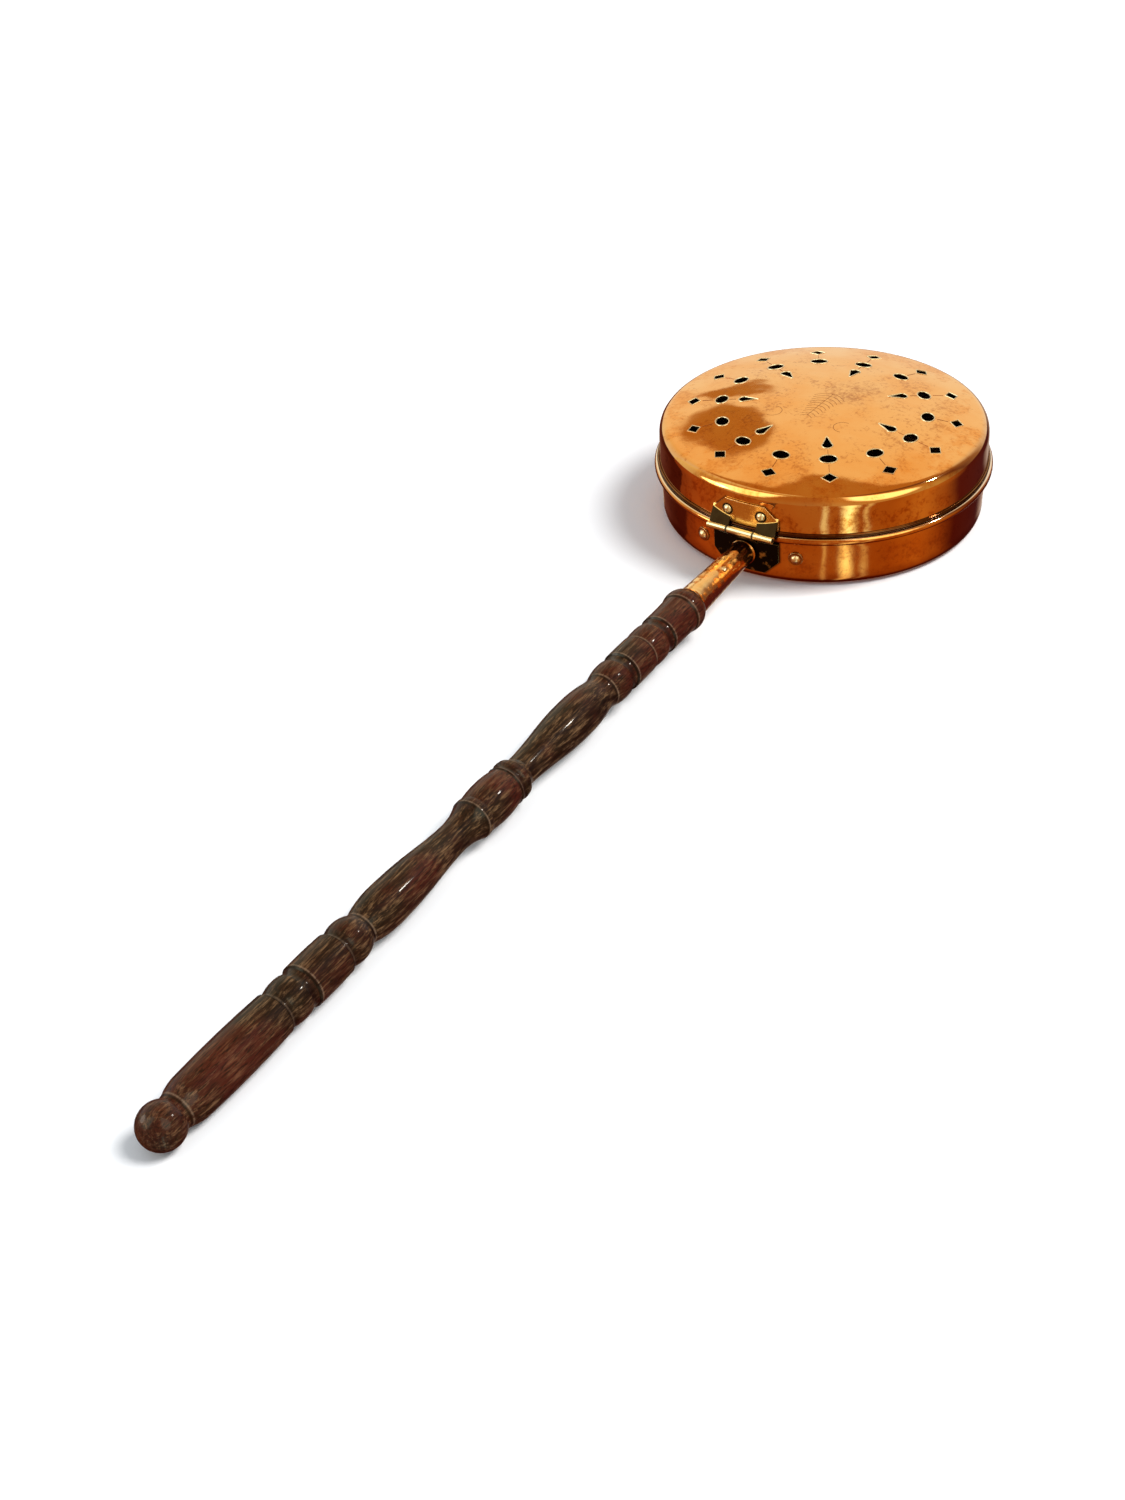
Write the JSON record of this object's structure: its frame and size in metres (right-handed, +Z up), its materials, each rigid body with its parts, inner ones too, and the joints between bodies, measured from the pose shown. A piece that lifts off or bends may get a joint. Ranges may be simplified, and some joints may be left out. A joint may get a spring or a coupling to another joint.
{
  "type": "bed warmer",
  "caption": "Round copper bed-warming pan with a pierced, domed lid on a brass hinge and a long turned wooden handle.",
  "frame": {"origin": "centre of the pan's flat underside, on the floor", "axes": "+Z up out of the pan; the handle runs out along -Y and dips until its ball rests on the floor; the lid's hinge line runs along +X above the handle's root, and +Y points away from the handle"},
  "size_m": [0.29, 1.0332, 0.0976],
  "materials": {
    "copper_pan": "polished copper with a worn patina",
    "copper_lid": "polished copper, dented and lightly engraved",
    "copper_socket": "hammered polished copper",
    "rivet_copper": "worn hammered copper",
    "brass": "worn brass",
    "brass_dark": "darkened brass",
    "iron": "dark wrought iron",
    "oak": "dark stained and polished"
  },
  "bodies": {
    "pan": {"pan_bowl": "copper_pan", "pan_rim_wire": "iron", "hinge_pan_leaf": "brass_dark", "plate_rivet": "brass", "strap_rivet_left": "rivet_copper", "strap_rivet_right": "rivet_copper", "strap_rove_left": "rivet_copper", "strap_rove_right": "rivet_copper", "inner_strap": "iron", "tang": "iron", "socket": "copper_socket", "socket_nail": "iron", "handle": "oak"},
    "lid": {"lid_shell": "copper_lid", "lid_rim_wire": "iron", "hinge_lid_leaf": "brass", "leaf_rivet_left": "brass", "leaf_rivet_right": "brass", "hinge_pin": "iron"}
  },
  "joints": [
    {"name": "lid_hinge", "type": "hinge", "parent": "pan", "child": "lid", "pos_m": [0, -0.1482, 0.04765], "axis": [1, 0, 0], "range_deg": [0, 120]}
  ]
}
